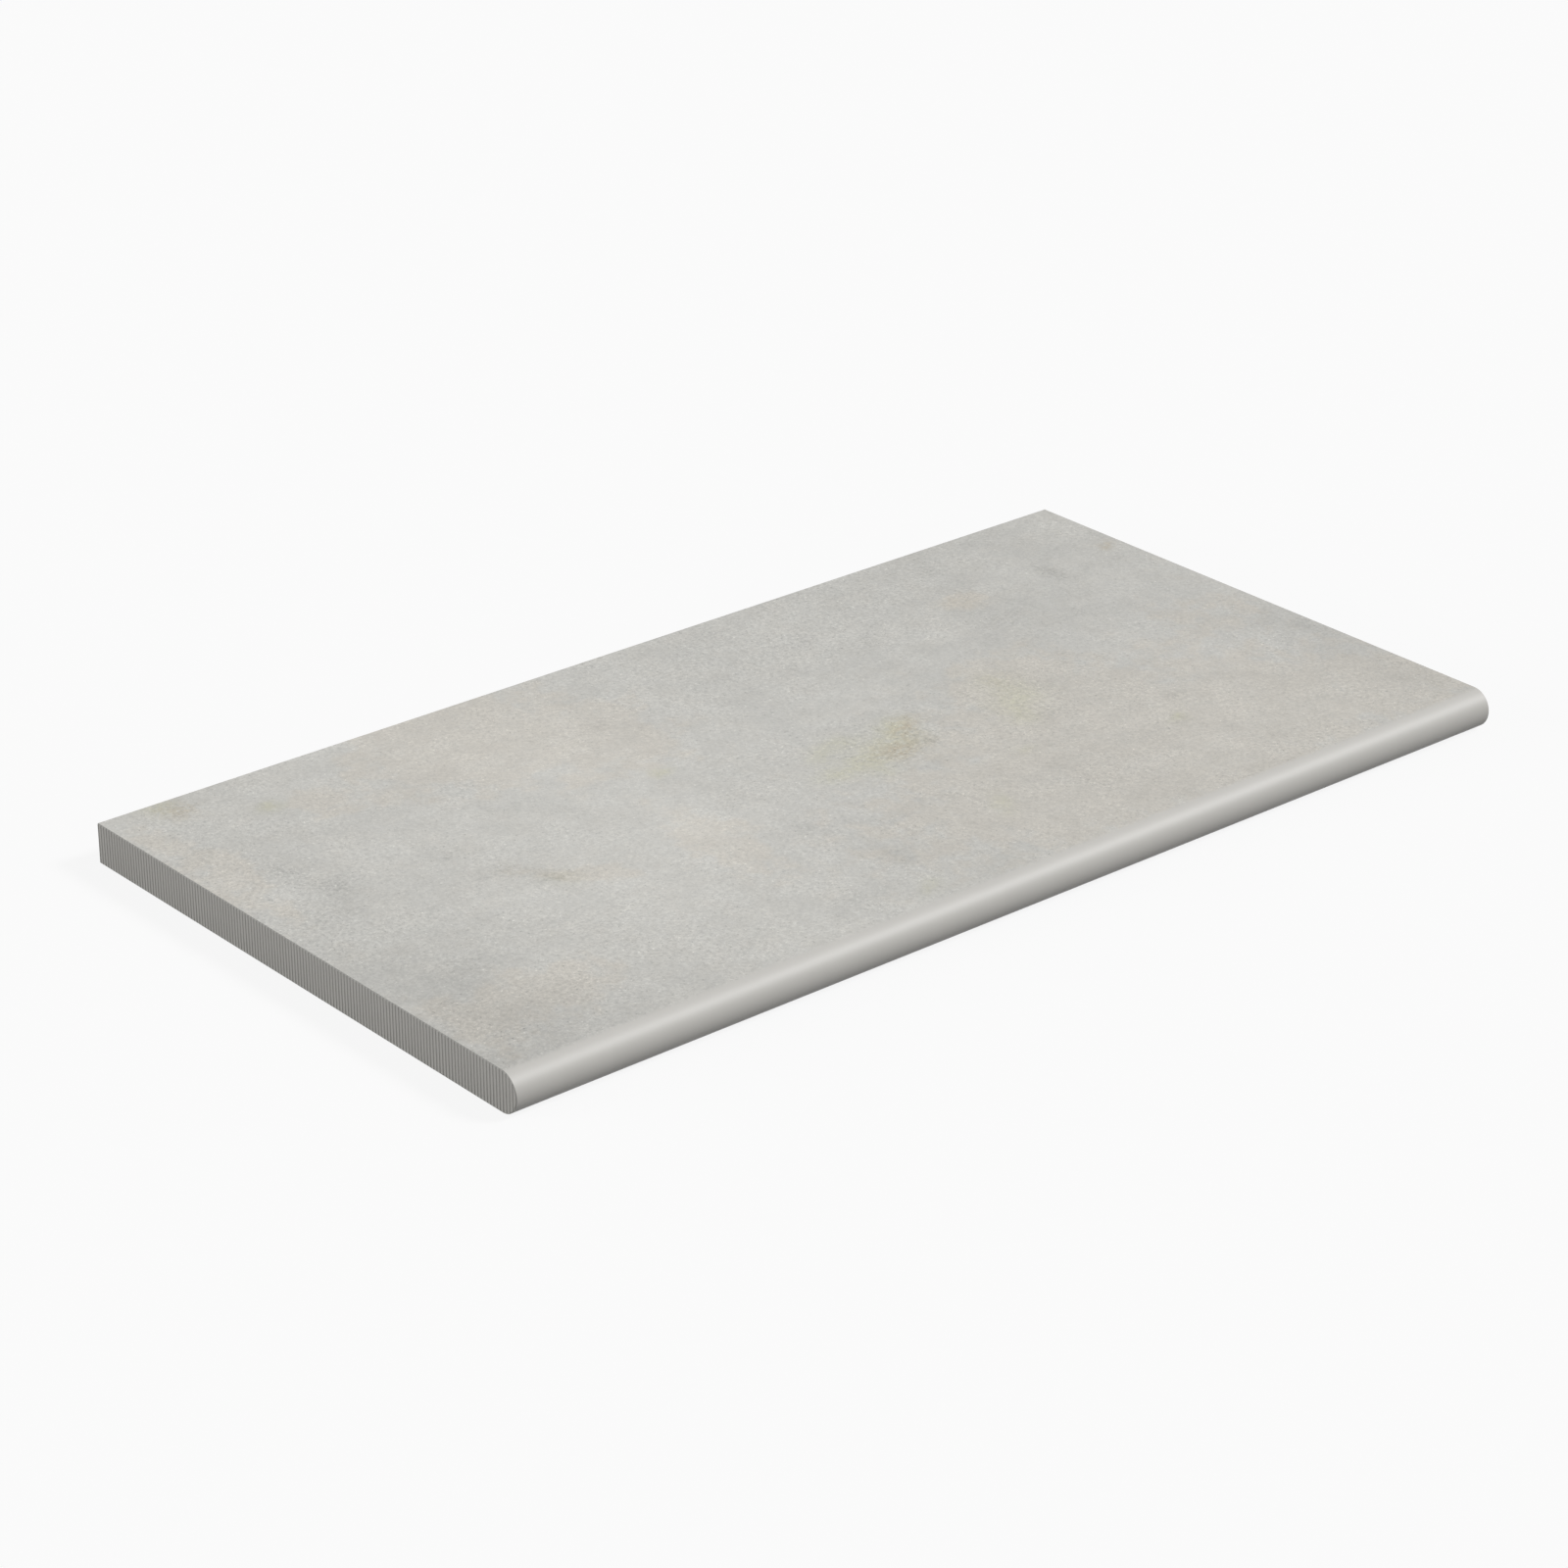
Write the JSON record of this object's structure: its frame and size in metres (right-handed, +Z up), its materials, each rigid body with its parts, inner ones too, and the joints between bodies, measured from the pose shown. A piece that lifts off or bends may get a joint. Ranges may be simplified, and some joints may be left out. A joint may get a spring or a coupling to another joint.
{
  "type": "pool coping tile",
  "caption": "Flat rectangular porcelain slab, square at the back and ends, with a half-round nose along one long edge, to cap and finish the rim of a swimming pool.",
  "frame": {"origin": "on the underside, in the middle of the slab's length and width", "axes": "+X along the pool edge, +Y away from the water with the nose at -Y, +Z up out of the face"},
  "size_m": [0.6, 0.318, 0.0205],
  "materials": {
    "porcelain": "matte cement-look face with a plain satin nose"
  },
  "bodies": {
    "root": {"coping_tile": "porcelain"}
  },
  "joints": []
}
